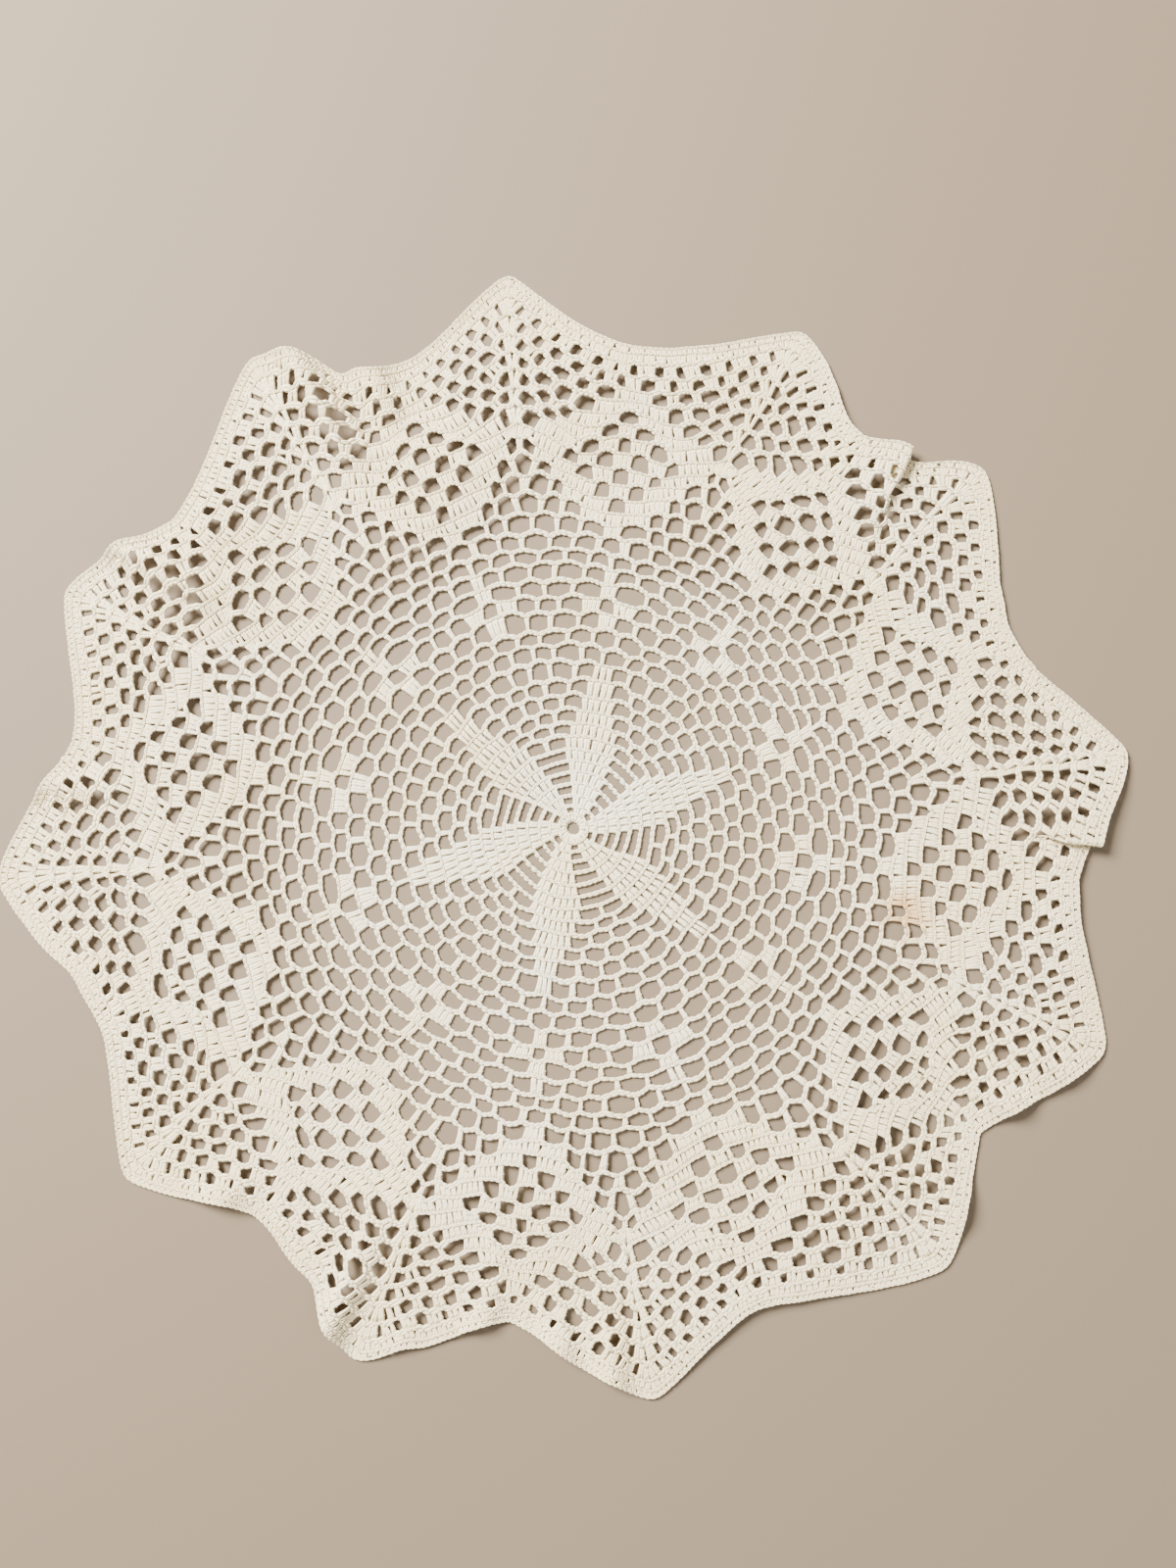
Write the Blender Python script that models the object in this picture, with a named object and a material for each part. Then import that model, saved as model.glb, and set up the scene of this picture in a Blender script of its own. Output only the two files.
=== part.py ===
"""A round crocheted doily with twelve points, lying on a flat surface.

The doily is worked in the round, so every place on it is a row number, counted from the
centre, and a turn, counted in twelfths of the circle. place() gives the flat position of
a row and turn, and drape() lays that position down with its ruffles and two pleats.
The sheet is one closed solid, and the widest gaps of each repeat are cut through it.
"""

import collections
import math

import bmesh
import bpy
import numpy as np
from mathutils.geometry import delaunay_2d_cdt

# ---------------------------------------------------------------- driving sizes (metres)
SHEET_THICKNESS = 0.0018
POINT_COUNT = 12
PETAL_COUNT = 6
RIM_ROW = 36.5
RIM_AXIS_RADIUS = 0.266
RIM_TIP_RADIUS = 0.302
TIP_BLUNTNESS = 0.05
CENTRE_HOLE_RADIUS = 0.0032
FLAT_RADIUS = 0.120
CENTRE_SHIFT = (0.0045, -0.0069)  # from the middle of the bounding box to the first row
COTTON_COLOR = (0.80, 0.78, 0.73, 1.0)
COTTON_ROUGHNESS = 0.9

# Radius of a row on a scallop's axis and on a point's axis, before the unevenness below.
Key = collections.namedtuple("Key", "row axis_radius tip_radius")
KEYS = (
    Key(0.5, 0.0032, 0.0032),
    Key(1.0, 0.0058, 0.0058),
    Key(3.0, 0.0150, 0.0150),
    Key(7.0, 0.0400, 0.0400),
    Key(10.0, 0.0595, 0.0595),
    Key(14.0, 0.0930, 0.0930),
    Key(16.0, 0.1120, 0.1120),
    Key(22.0, 0.1630, 0.1655),
    Key(27.0, 0.2060, 0.2213),
    Key(28.0, 0.2140, 0.2325),
    Key(31.0, 0.2360, 0.2613),
    Key(33.0, 0.2485, 0.2804),
    Key(34.0, 0.2545, 0.2900),
    Key(36.5, 0.2660, 0.3020),
)

# Each point: degrees of its spine, degrees of its tip, and radius of its tip.
Point = collections.namedtuple("Point", "spine tip reach")
POINTS = (
    Point(22.8, 24.9, 0.3030),
    Point(50.5, 48.9, 0.2995),
    Point(82.0, 82.3, 0.3005),
    Point(111.9, 112.8, 0.3040),
    Point(139.7, 139.5, 0.2995),
    Point(172.5, 171.8, 0.2970),
    Point(202.4, 202.3, 0.2965),
    Point(233.9, 232.0, 0.2965),
    Point(264.8, 265.0, 0.3080),
    Point(294.9, 295.2, 0.3050),
    Point(323.9, 325.6, 0.3155),
    Point(352.1, 353.2, 0.3100),
)

# Each scallop, after the point of the same place in the list: degrees of its medallion,
# degrees and radius of its valley, its size, and how far the rim sags on each side of it.
Scallop = collections.namedtuple("Scallop", "axis valley reach size sag_before sag_after")
SCALLOPS = (
    Scallop(37.7, 35.7, 0.2670, 0.980, 1.10, 1.40),
    Scallop(67.0, 66.0, 0.2600, 0.970, 1.75, 2.00),
    Scallop(96.9, 96.5, 0.2705, 1.015, 1.00, 1.80),
    Scallop(125.8, 127.0, 0.2670, 1.010, 1.30, 1.05),
    Scallop(156.0, 158.8, 0.2660, 1.005, 1.35, 1.85),
    Scallop(187.2, 187.2, 0.2580, 0.975, 1.20, 1.40),
    Scallop(218.5, 219.8, 0.2610, 0.973, 2.20, 1.20),
    Scallop(250.0, 247.0, 0.2705, 1.022, 1.70, 1.65),
    Scallop(280.0, 280.0, 0.2740, 1.034, 1.15, 1.85),
    Scallop(309.3, 307.5, 0.2760, 1.027, 0.95, 1.90),
    Scallop(337.5, 340.5, 0.2750, 1.030, 2.15, 1.55),
    Scallop(367.7, 367.9, 0.2690, 0.990, 2.60, 2.30),
)

# Rows where the unevenness sets in: all round, then towards the edge.
UNEVEN_ROWS = (8.0, 20.0)
EDGE_ROW = 27.0
# Rows and sizes of the turn of the middle, the level middle of a scallop and its round edge.
TWIST_ROWS = (14.0, 22.0)
TWIST_DEGREES = (2.4, 0.0)
LEVEL_ROWS = (22.0, 27.0, 33.0)
LEVEL_SHARES = (0.0, 0.5, 0.0)
ROUND_ROWS = (31.0, 36.5)
ROUND_SHARES = (0.0, 0.25)
NET_SAG = 1.05

# The slight lift of the cloth between its middle and its points: height, then waves around
# the circle, where each starts in radians, and how far it leans on the way outwards.
SWELL_HEIGHT = 0.0009
SWELL_WAVES = ((5.0, 0.8, 9.0), (7.0, 0.0, 6.0))
LYING_FLAT = 0.0002

# Each ruffle: degrees, half width in degrees, radius where it starts, height, rim bulge.
Ruffle = collections.namedtuple("Ruffle", "angle spread start height bulge")
RUFFLES = (
    Ruffle(39.5, 2.2, 0.235, 0.000, -0.001),
    Ruffle(45.4, 2.2, 0.235, 0.000, -0.006),
    Ruffle(88.0, 3.0, 0.235, 0.002, -0.006),
    Ruffle(116.5, 2.4, 0.195, 0.004, -0.001),
    Ruffle(122.3, 1.7, 0.215, 0.006, -0.001),
    Ruffle(134.0, 2.4, 0.195, 0.006, -0.002),
    Ruffle(175.8, 1.6, 0.225, 0.005, -0.002),
    Ruffle(181.6, 2.0, 0.225, 0.005, -0.001),
    Ruffle(190.4, 1.8, 0.205, 0.005, -0.002),
    Ruffle(206.2, 1.8, 0.215, 0.008, 0.002),
    Ruffle(210.0, 1.8, 0.235, 0.000, -0.003),
    Ruffle(223.4, 2.2, 0.235, 0.006, -0.002),
    Ruffle(254.0, 2.2, 0.240, 0.000, -0.003),
    Ruffle(274.8, 1.8, 0.230, 0.005, 0.000),
    Ruffle(301.9, 1.7, 0.215, 0.009, 0.001),
    Ruffle(329.2, 2.0, 0.215, 0.012, 0.004),
    Ruffle(332.8, 1.4, 0.235, 0.000, -0.006),
    Ruffle(336.2, 1.7, 0.235, 0.006, -0.003),
)

RUFFLE_RIM = 0.272

# Each pleat: degrees at its start and at the rim, start radius, cloth drawn in, height.
Pleat = collections.namedtuple("Pleat", "inner outer start draw height")
PLEATS = (
    Pleat(47.0, 41.9, 0.215, 0.0115, 0.0105),
    Pleat(90.4, 91.5, 0.225, 0.0115, 0.0105),
)
PLEAT_RIM = 0.278  # radius where a pleat is as wide as it gets
PLEAT_TURN = 0.005  # half width of the layer that turns back
PLEAT_DROP = 0.0065  # half width of the drop from the top layer
PLEAT_FALL = 0.040  # width over which the top layer comes down again
PLEAT_EASE = 0.028  # width over which the drawn cloth comes to rest
PLEAT_EARLY = 1.7  # how much sooner a pleat rises than it folds
PLEAT_CLEAR = 0.017  # no gap is cut nearer than this to a pleat
PLEAT_BAND = 0.026  # half width of the band that has close-set points

# Gaps of one scallop: row, place from the axis (0) to the spine (1), half width, half height.
Gap = collections.namedtuple("Gap", "row side half_width half_height")
SCALLOP_GAPS = (
    Gap(17, 0.00, 0.0038, 0.0026),
    Gap(20, 0.50, 0.0046, 0.0030),
    Gap(25, 0.20, 0.0046, 0.0036),
    Gap(26, 0.00, 0.0046, 0.0037),
    Gap(26, 0.36, 0.0046, 0.0036),
    Gap(27, 0.18, 0.0046, 0.0036),
    Gap(27, 0.53, 0.0044, 0.0035),
    Gap(28, 0.00, 0.0046, 0.0034),
    Gap(28, 0.36, 0.0044, 0.0032),
    Gap(30, 0.81, 0.0042, 0.0038),
    Gap(32, 0.63, 0.0040, 0.0036),
)
# Rows of the star's long gaps, and of the net around it that are cut, with their gap counts.
STAR_ROWS = (4, 5, 6, 7)
NET_ROWS = {10: 2, 13: 4}
STITCH_WIDTH = 0.0036
STAR_HALF_HEIGHT = 0.0022
STAR_SWIRL = (7.8, 1.6)
TURN_DEGREES = 360.0 / POINT_COUNT
NET_HALF_WIDTH = 0.0046
NET_HALF_HEIGHT = 0.0031
GAP_MARGIN = 0.001
GAP_STEP = 0.05
HEXAGON = ((-1.0, 0.0), (-0.62, -1.0), (0.62, -1.0), (1.0, 0.0), (0.62, 1.0), (-0.62, 1.0))

# Places per scallop where the sheet gets points of its own, so that it can bend there.
FILL = {11.5: 3, 15.8: 4, 18.5: 5, 21.6: 5, 23.4: 6, 29.1: 6, 31.0: 6, 33.4: 7, 35.0: 8}
RIM_STEPS = 12
PLEAT_STEPS = (
    (-30, -22, -16, -12, -9, -7, -5.4, -4, -2.4, -0.8)
    + (0.8, 2.4, 4, 5.4, 7, 9, 12, 16, 22)
)  # millimetres across a pleat
PLEAT_ROWS = (28.0, 29.3, 30.6, 32.0, 33.4, 34.9)
CORNER_CLEAR = 0.0045
PLEAT_CORNER_CLEAR = 0.002
MERGE_DISTANCE = 1e-7


def ease(t):
    """0 to 1 with a smooth start and end."""
    t = np.clip(t, 0.0, 1.0)
    return t * t * (3.0 - 2.0 * t)


def ramp(t):
    """-1 to 1, almost straight between them, with short rounded ends."""
    return t / (1.0 + np.abs(t) ** 8) ** 0.125


def star_twist(row):
    """Degrees by which the middle of the doily is turned against its medallions."""
    return np.interp(row, TWIST_ROWS, TWIST_DEGREES)


def place(row, turn):
    """Degrees and radius of a row number and a turn in twelfths, for arrays of any shape."""
    row, turn = np.broadcast_arrays(np.asarray(row, float), np.asarray(turn, float))
    index = np.floor(turn).astype(int)
    side = 2.0 * (turn - index) - 1.0
    scallop = np.array(SCALLOPS)[index % POINT_COUNT]
    later = side > 0.0
    at = index + later
    point = np.array(POINTS)[at % POINT_COUNT]
    lap = 360.0 * (at // POINT_COUNT - index // POINT_COUNT)
    size_of = np.array([s.size for s in SCALLOPS])
    spine_size = 0.5 * (size_of[at % POINT_COUNT] + size_of[(at - 1) % POINT_COUNT])

    outer = np.interp(row, (EDGE_ROW, RIM_ROW), (0.0, 1.0))
    inner = np.interp(row, UNEVEN_ROWS, (0.0, 1.0))
    axis_angle = scallop[..., 0] + outer * (scallop[..., 1] - scallop[..., 0])
    spine_angle = point[..., 0] + outer * (point[..., 1] - point[..., 0]) + lap
    reach = np.abs(side)
    angle = axis_angle + reach * (spine_angle - axis_angle) + star_twist(row)
    angle = angle + 360.0 * (index // POINT_COUNT)

    axis_scale = 1.0 + inner * (scallop[..., 3] - 1.0)
    axis_scale = axis_scale + outer * (scallop[..., 2] / RIM_AXIS_RADIUS - axis_scale)
    tip_scale = 1.0 + inner * (spine_size - 1.0)
    tip_scale = tip_scale + outer * (point[..., 2] / RIM_TIP_RADIUS - tip_scale)
    rows = [key.row for key in KEYS]
    axis_radius = axis_scale * np.interp(row, rows, [key.axis_radius for key in KEYS])
    tip_radius = tip_scale * np.interp(row, rows, [key.tip_radius for key in KEYS])

    level = np.interp(row, LEVEL_ROWS, LEVEL_SHARES)
    t = np.clip((reach - level) / (1.0 - level), 0.0, 1.0)
    blunt = 0.001 + TIP_BLUNTNESS * outer
    short = np.hypot(1.0 - t, blunt) - blunt
    t = 1.0 - short / (np.hypot(1.0, blunt) - blunt)
    sag = np.where(later, scallop[..., 5], scallop[..., 4])
    power = NET_SAG + outer * (sag - NET_SAG)
    rounding = np.interp(row, ROUND_ROWS, ROUND_SHARES)
    rise = (1.0 - rounding) * t**power + rounding * ease(t)
    return angle, axis_radius + rise * (tip_radius - axis_radius)


def turn_of(angle, row):
    """The turn whose place in this row is at these degrees."""
    turns = np.arange(-1.0, POINT_COUNT + 1.0, 1.0 / 64)
    return np.interp(angle, place(row, turns)[0], turns)


def degrees_from(angle, other):
    """The short way round from one angle to another, in degrees."""
    return (np.asarray(angle) - other + 180.0) % 360.0 - 180.0


def pleat_distance(pleat, angle, radius):
    """Metres along the circle from the pleat's line, and the way from its start to its rim."""
    along = (radius - pleat.start) / (PLEAT_RIM - pleat.start)
    line = pleat.inner + np.clip(along, 0.0, 1.2) * (pleat.outer - pleat.inner)
    distance = np.radians(degrees_from(angle, line)) * radius
    return distance, along


def swell(angle, radius):
    """The slight lift of the cloth between its flat middle and the tips of its points."""
    away = (radius - FLAT_RADIUS) / (RIM_TIP_RADIUS - FLAT_RADIUS)
    waves = 2.0
    for around, start, outward in SWELL_WAVES:
        waves = waves + np.sin(around * np.radians(angle) + start - outward * away)
    return SWELL_HEIGHT * ease(2.0 * away) * ease(4.0 * (1.0 - away)) * waves


def drape(angle, radius):
    """The laid position, in metres, of a flat position: middle of the sheet's thickness."""
    angle = np.asarray(angle, float)
    radius = np.asarray(radius, float)
    height = swell(angle, radius)
    spread = radius.copy()
    for ruffle in RUFFLES:
        grown = ease((radius - ruffle.start) / (RUFFLE_RIM - ruffle.start))
        form = grown * np.exp(-((degrees_from(angle, ruffle.angle) / ruffle.spread) ** 2))
        height = height + ruffle.height * form
        spread = spread + ruffle.bulge * form
    laid = angle.copy()
    for pleat in PLEATS:
        distance, along = pleat_distance(pleat, angle, radius)
        raised = ease(PLEAT_EARLY * along)
        drawn = pleat.draw * ease(along) * np.tanh(distance / PLEAT_TURN)
        laid = laid - np.degrees(drawn * np.exp(-((distance / PLEAT_EASE) ** 2)) / radius)
        over = 0.5 * (1.0 - ramp(distance / PLEAT_DROP))
        over = raised * over * np.exp(-((np.minimum(distance, 0.0) / PLEAT_FALL) ** 2))
        height = height * (1.0 - over) + pleat.height * over
    height = np.maximum(height - LYING_FLAT, 0.0)
    turned = np.radians(laid)
    x = spread * np.sin(turned) + CENTRE_SHIFT[0]
    y = spread * np.cos(turned) + CENTRE_SHIFT[1]
    return np.stack([x, y, height + 0.5 * SHEET_THICKNESS], axis=-1)


def in_pleat(angle, radius, margin):
    """Whether a flat position is in the folded cloth of a pleat."""
    for pleat in PLEATS:
        distance, along = pleat_distance(pleat, angle, radius)
        if abs(distance) < margin and along > 0.0:
            return True
    return False


def gap_outline(row, turn, half_width, half_height):
    """The six corners of a gap, as (degrees, radius) pairs."""
    ahead, radius = place(row, turn + GAP_STEP)
    behind, radius = place(row, turn - GAP_STEP)
    width_of_turn = np.radians(ahead - behind) * radius / (2.0 * GAP_STEP)
    row_height = place(row + 0.5, turn)[1] - place(row - 0.5, turn)[1]
    across = turn + half_width / width_of_turn * np.array([corner[0] for corner in HEXAGON])
    along = row + half_height / row_height * np.array([corner[1] for corner in HEXAGON])
    return list(zip(*place(along, across)))


def star_gaps():
    """The long gaps between the petals, one in each row, and the net outside them."""
    gaps = []
    for petal in range(PETAL_COUNT):
        middle = 2 * petal + 0.5
        for row in STAR_ROWS:
            radius = float(place(row, middle)[1])
            share = 2.0 * math.pi * radius / PETAL_COUNT
            half_width = 0.5 * (share - row * STITCH_WIDTH) - GAP_MARGIN
            swirl = np.interp(row, (4, 7), STAR_SWIRL) / TURN_DEGREES
            gaps.append(gap_outline(row, middle + swirl, half_width, STAR_HALF_HEIGHT))
        for row, count in NET_ROWS.items():
            spacing = 1.5 / count
            for cell in range(count):
                turn = middle + (cell - 0.5 * (count - 1)) * spacing
                gaps.append(gap_outline(row, turn, NET_HALF_WIDTH, NET_HALF_HEIGHT))
    return gaps


def scallop_gaps():
    """The gaps of every scallop: flower, net, medallion and outer mesh."""
    gaps = []
    for index in range(POINT_COUNT):
        for gap in SCALLOP_GAPS:
            for sign in (-1, 1) if gap.side else (1,):
                turn = index + 0.5 + 0.5 * sign * gap.side
                if in_pleat(*place(gap.row, turn), PLEAT_CLEAR + gap.half_width):
                    continue
                gaps.append(gap_outline(gap.row, turn, gap.half_width, gap.half_height))
    return gaps


def centre_gap():
    """The small round hole in the middle of the first row."""
    return [(TURN_DEGREES * corner, CENTRE_HOLE_RADIUS) for corner in range(POINT_COUNT)]


def pleat_grid(row):
    """Turns of the close-set points across each pleat, in one row."""
    turns = []
    for pleat in PLEATS:
        middle = turn_of(pleat.outer, row)
        for _ in range(3):
            angle, radius = place(row, middle)
            distance, _along = pleat_distance(pleat, angle, radius)
            middle = turn_of(angle - np.degrees(distance / radius), row)
        angle, radius = place(row, middle)
        for step in PLEAT_STEPS:
            turns.append(float(turn_of(angle + np.degrees(0.001 * step / radius), row)))
    return turns


def rim_outline():
    """The doily's edge, once round, as (degrees, radius) pairs."""
    turns = []
    for step in range(POINT_COUNT * RIM_STEPS):
        turn = step / RIM_STEPS
        if not in_pleat(*place(RIM_ROW, turn), PLEAT_BAND):
            turns.append(turn)
    turns = sorted(turns + pleat_grid(RIM_ROW))
    return list(zip(*place(RIM_ROW, np.array(turns))))


def fill_points(outlines):
    """Points of the sheet between its gaps, kept clear of their corners."""
    corners = np.array([flat(corner) for outline in outlines for corner in outline])
    points = []
    for row, count in FILL.items():
        for step in range(POINT_COUNT * count):
            angle, radius = place(row, (step + 0.5) / count)
            spot = np.array(flat((angle, radius)))
            near = np.min(np.hypot(*(corners - spot).T)) < CORNER_CLEAR
            if not near and not in_pleat(angle, radius, PLEAT_BAND):
                points.append((float(angle), float(radius)))
    for row in PLEAT_ROWS:
        for turn in pleat_grid(row):
            angle, radius = place(row, turn)
            spot = np.array(flat((angle, radius)))
            if np.min(np.hypot(*(corners - spot).T)) > PLEAT_CORNER_CLEAR:
                points.append((float(angle), float(radius)))
    return points


def flat(spot):
    """x and y of an (angle, radius) pair before the cloth is laid down."""
    angle = math.radians(spot[0])
    return spot[1] * math.sin(angle), spot[1] * math.cos(angle)


def sheet_mesh():
    """The sheet's middle surface: the rim filled in, its gaps left open, and laid down."""
    outlines = [rim_outline(), centre_gap()] + star_gaps() + scallop_gaps()
    spots = [corner for outline in outlines for corner in outline]
    faces = []
    start = 0
    for outline in outlines:
        faces.append(list(range(start, start + len(outline))))
        start += len(outline)
    spots += fill_points(outlines)
    points, _edges, cells, origin, _, _ = delaunay_2d_cdt(
        [flat(spot) for spot in spots], [], faces, 2, MERGE_DISTANCE
    )
    sheet = bmesh.new()
    for source in origin:
        angle, radius = spots[source[0]]
        sheet.verts.new(drape(angle, radius))
    sheet.verts.ensure_lookup_table()
    for cell in cells:
        sheet.faces.new([sheet.verts[corner] for corner in cell])
    bmesh.ops.recalc_face_normals(sheet, faces=sheet.faces)
    up = sum(face.normal.z * face.calc_area() for face in sheet.faces)
    if up < 0.0:
        bmesh.ops.reverse_faces(sheet, faces=sheet.faces)
    print(len(outlines) - 1, "gaps,", len(sheet.faces), "faces,", len(points), "points")
    return sheet


def cotton():
    """Matt white cotton yarn."""
    material = bpy.data.materials.new("cotton")
    material.use_nodes = True
    shader = material.node_tree.nodes["Principled BSDF"]
    shader.inputs["Base Color"].default_value = COTTON_COLOR
    shader.inputs["Roughness"].default_value = COTTON_ROUGHNESS
    shader.inputs["Metallic"].default_value = 0.0
    return material


def lace_doily():
    """The one-piece doily: the laid sheet, thickened both ways from its middle."""
    mesh = bpy.data.meshes.new("lace_doily")
    sheet = sheet_mesh()
    sheet.to_mesh(mesh)
    sheet.free()
    mesh.materials.append(cotton())
    doily = bpy.data.objects.new("lace_doily", mesh)
    bpy.context.scene.collection.objects.link(doily)
    thick = doily.modifiers.new("thickness", "SOLIDIFY")
    thick.thickness = SHEET_THICKNESS
    thick.offset = 0.0
    thick.use_even_offset = False
    return doily


def main():
    for old in list(bpy.data.objects):
        bpy.data.objects.remove(old, do_unlink=True)
    lace_doily()


main()
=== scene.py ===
# %% [markdown]
# # A crocheted cotton doily, stitch by stitch
#
# The doily is worked in the round from its centre: a six-petalled star, rings of open net,
# twelve medallions, a coarser mesh between them, and a plain edging with twelve points.
# Every strand of yarn here is a real piece of mesh. Three small templates, a post and two
# kinds of chain link, are modelled once, and a chart says where each of their thousands
# of copies goes. The chart counts in rows from the centre and in twelfths of a turn.

import collections
import math

import bmesh
import bpy
import numpy as np
from mathutils import Matrix, Vector


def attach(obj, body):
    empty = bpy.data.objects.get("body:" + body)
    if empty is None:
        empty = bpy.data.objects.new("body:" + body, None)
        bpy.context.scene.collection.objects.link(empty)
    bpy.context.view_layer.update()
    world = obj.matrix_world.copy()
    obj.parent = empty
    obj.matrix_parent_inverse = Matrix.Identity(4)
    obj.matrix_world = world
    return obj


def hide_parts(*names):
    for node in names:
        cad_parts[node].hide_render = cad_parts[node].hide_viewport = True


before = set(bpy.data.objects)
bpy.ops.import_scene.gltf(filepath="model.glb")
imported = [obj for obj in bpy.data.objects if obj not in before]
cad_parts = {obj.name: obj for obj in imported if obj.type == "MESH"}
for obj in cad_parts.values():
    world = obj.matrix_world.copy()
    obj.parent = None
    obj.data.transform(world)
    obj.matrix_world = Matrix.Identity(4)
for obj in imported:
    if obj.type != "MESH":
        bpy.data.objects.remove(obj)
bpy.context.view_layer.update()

# %% [markdown]
# ## Where the rows lie
#
# Hand-made lace is never quite round. It could be drawn as one twelfth and eleven turned
# copies, but then every scallop would be the same. So each scallop and each point has its
# own direction and reach in a table, and place() blends between them. It gives the flat
# position of any row and turn, from the same sizes that the solid was built from.

# %% Sizes of the layout
POINT_COUNT = 12
RIM_ROW = 36.5
RIM_AXIS_RADIUS = 0.266
RIM_TIP_RADIUS = 0.302
INNER_BLUNTNESS = 0.001
TIP_BLUNTNESS = 0.05
FLAT_RADIUS = 0.120
CENTRE_SHIFT = (0.0045, -0.0069)
MID_HEIGHT = 0.0009
TURN_DEGREES = 360.0 / POINT_COUNT

Key = collections.namedtuple("Key", "row axis_radius tip_radius")
KEYS = (
    Key(0.5, 0.0032, 0.0032),
    Key(1.0, 0.0058, 0.0058),
    Key(3.0, 0.0150, 0.0150),
    Key(7.0, 0.0400, 0.0400),
    Key(10.0, 0.0595, 0.0595),
    Key(14.0, 0.0930, 0.0930),
    Key(16.0, 0.1120, 0.1120),
    Key(22.0, 0.1630, 0.1655),
    Key(27.0, 0.2060, 0.2213),
    Key(28.0, 0.2140, 0.2325),
    Key(31.0, 0.2360, 0.2613),
    Key(33.0, 0.2485, 0.2804),
    Key(34.0, 0.2545, 0.2900),
    Key(36.5, 0.2660, 0.3020),
)

# Each point: degrees of its spine, degrees of its tip, and radius of its tip.
Point = collections.namedtuple("Point", "spine tip reach")
POINTS = (
    Point(22.8, 24.9, 0.3030),
    Point(50.5, 48.9, 0.2995),
    Point(82.0, 82.3, 0.3005),
    Point(111.9, 112.8, 0.3040),
    Point(139.7, 139.5, 0.2995),
    Point(172.5, 171.8, 0.2970),
    Point(202.4, 202.3, 0.2965),
    Point(233.9, 232.0, 0.2965),
    Point(264.8, 265.0, 0.3080),
    Point(294.9, 295.2, 0.3050),
    Point(323.9, 325.6, 0.3155),
    Point(352.1, 353.2, 0.3100),
)

# Each scallop: degrees of its medallion, degrees and radius of its valley, its size, and
# how far the rim sags on each side of it.
Scallop = collections.namedtuple("Scallop", "axis valley reach size sag_before sag_after")
SCALLOPS = (
    Scallop(37.7, 35.7, 0.2670, 0.980, 1.10, 1.40),
    Scallop(67.0, 66.0, 0.2600, 0.970, 1.75, 2.00),
    Scallop(96.9, 96.5, 0.2705, 1.015, 1.00, 1.80),
    Scallop(125.8, 127.0, 0.2670, 1.010, 1.30, 1.05),
    Scallop(156.0, 158.8, 0.2660, 1.005, 1.35, 1.85),
    Scallop(187.2, 187.2, 0.2580, 0.975, 1.20, 1.40),
    Scallop(218.5, 219.8, 0.2610, 0.973, 2.20, 1.20),
    Scallop(250.0, 247.0, 0.2705, 1.022, 1.70, 1.65),
    Scallop(280.0, 280.0, 0.2740, 1.034, 1.15, 1.85),
    Scallop(309.3, 307.5, 0.2760, 1.027, 0.95, 1.90),
    Scallop(337.5, 340.5, 0.2750, 1.030, 2.15, 1.55),
    Scallop(367.7, 367.9, 0.2690, 0.990, 2.60, 2.30),
)

UNEVEN_ROWS = (8.0, 20.0)
EDGE_ROW = 27.0
TWIST_ROWS = (14.0, 22.0)
TWIST_DEGREES = (2.4, 0.0)
LEVEL_ROWS = (22.0, 27.0, 33.0)
LEVEL_SHARES = (0.0, 0.5, 0.0)
ROUND_ROWS = (31.0, 36.5)
ROUND_SHARES = (0.0, 0.25)
NET_SAG = 1.05
print("points:", len(POINTS), "scallops:", len(SCALLOPS))

# %% The place of any row and turn


def ease(t):
    """0 to 1 with a smooth start and end."""
    t = np.clip(t, 0.0, 1.0)
    return t * t * (3.0 - 2.0 * t)


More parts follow.
